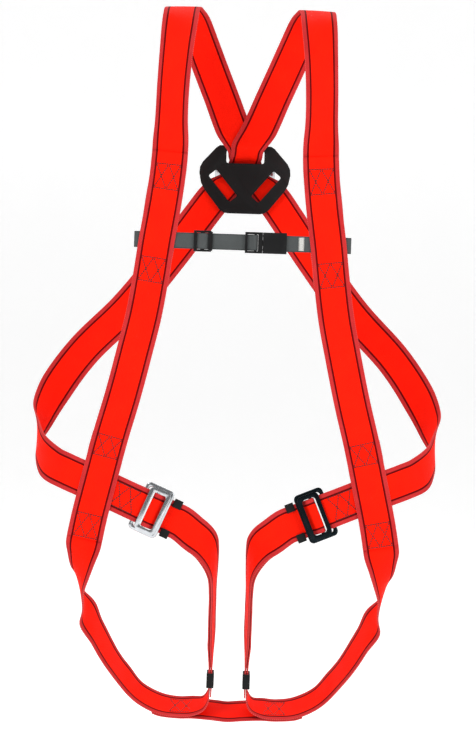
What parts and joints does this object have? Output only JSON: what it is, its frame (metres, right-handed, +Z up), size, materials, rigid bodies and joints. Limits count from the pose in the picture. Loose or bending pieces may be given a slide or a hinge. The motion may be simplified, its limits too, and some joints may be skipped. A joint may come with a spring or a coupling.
{
  "type": "safety harness",
  "caption": "Full body fall arrest harness of red webbing with a dorsal ring, an adjustable chest strap and leg loops with pass-through buckles.",
  "frame": {"origin": "midway between the tops of the two shoulder straps, where the harness hangs", "axes": "+Z up along the wearer's height, -Y the wearer's front, +X to the right as seen from the front"},
  "size_m": [0.5214, 0.2225, 0.9119],
  "materials": {
    "webbing_red": "woven",
    "webbing_grey": "woven",
    "thread_red": "thread",
    "thread_white": "thread",
    "plate_black": "moulded",
    "buckle_black": "moulded",
    "keeper_black": "moulded",
    "ring_steel": "plated",
    "frame_bright": "polished",
    "frame_dark": "dark plated"
  },
  "bodies": {
    "webbing": {"shoulder_strap_left": "webbing_red", "shoulder_strap_right": "webbing_red", "front_strap_left": "webbing_red", "front_strap_right": "webbing_red", "leg_loop_left": "webbing_red", "leg_loop_right": "webbing_red", "seat_strap": "webbing_red", "dorsal_plate": "plate_black", "leg_ring_left": "frame_bright", "leg_ring_right": "frame_dark", "slide_bar_left": "frame_bright", "slide_bar_right": "frame_dark", "chest_stitches": "thread_red", "hip_stitches": "thread_red", "side_stitches": "thread_red", "seat_stitches": "thread_red"},
    "ring": {"dorsal_ring": "ring_steel"},
    "chest_right": {"chest_strap_short": "webbing_grey", "chest_buckle_female": "buckle_black", "chest_bar_tack": "thread_white"},
    "chest_left": {"chest_strap_long": "webbing_grey", "chest_slider": "buckle_black", "chest_buckle_male": "buckle_black"},
    "arm_upper": {"release_arm_upper": "buckle_black"},
    "arm_lower": {"release_arm_lower": "buckle_black"},
    "frame_left": {"leg_frame_left": "frame_bright"},
    "frame_right": {"leg_frame_right": "frame_dark"},
    "keeper_upper_left": {"upper_keeper_left": "keeper_black"},
    "keeper_upper_right": {"upper_keeper_right": "keeper_black"},
    "keeper_lower_left": {"lower_keeper_left": "keeper_black"},
    "keeper_lower_right": {"lower_keeper_right": "keeper_black"}
  },
  "joints": [
    {"name": "ring_swing", "type": "hinge", "parent": "webbing", "child": "ring", "pos_m": [0, 0.086, -0.197], "axis": [1, 0, 0], "range_deg": [0, 110]},
    {"name": "chest_height", "type": "slide", "parent": "webbing", "child": "chest_right", "axis": [0, 0, 1], "range_m": [0, 0.02]},
    {"name": "chest_release", "type": "slide", "parent": "chest_right", "child": "chest_left", "axis": [-1, 0, 0], "range_m": [0, 0.014]},
    {"name": "press_upper_arm", "type": "hinge", "parent": "chest_left", "child": "arm_upper", "pos_m": [0.0262, -0.0696, -0.2884], "axis": [0, 1, 0], "range_deg": [0, 8], "stiffness_Nm_per_rad": 1},
    {"name": "press_lower_arm", "type": "hinge", "parent": "chest_left", "child": "arm_lower", "pos_m": [0.0262, -0.0696, -0.3056], "axis": [0, -1, 0], "range_deg": [0, 8], "stiffness_Nm_per_rad": 1},
    {"name": "frame_tilt_left", "type": "hinge", "parent": "webbing", "child": "frame_left", "pos_m": [-0.10358, -0.0665, -0.63441], "axis": [0.3907, 0, 0.9205], "range_deg": [0, 8]},
    {"name": "frame_tilt_right", "type": "hinge", "parent": "webbing", "child": "frame_right", "pos_m": [0.10358, -0.0665, -0.63441], "axis": [0.3907, 0, -0.9205], "range_deg": [0, 8]},
    {"name": "upper_keeper_slide_left", "type": "slide", "parent": "webbing", "child": "keeper_upper_left", "axis": [0.9205, 0, -0.3907], "range_m": [0, 0.004]},
    {"name": "upper_keeper_slide_right", "type": "slide", "parent": "webbing", "child": "keeper_upper_right", "axis": [-0.9205, 0, -0.3907], "range_m": [0, 0.004]},
    {"name": "lower_keeper_slide_left", "type": "slide", "parent": "webbing", "child": "keeper_lower_left", "axis": [0, 0, 1], "range_m": [0, 0.009]},
    {"name": "lower_keeper_slide_right", "type": "slide", "parent": "webbing", "child": "keeper_lower_right", "axis": [0, 0, 1], "range_m": [0, 0.009]}
  ]
}
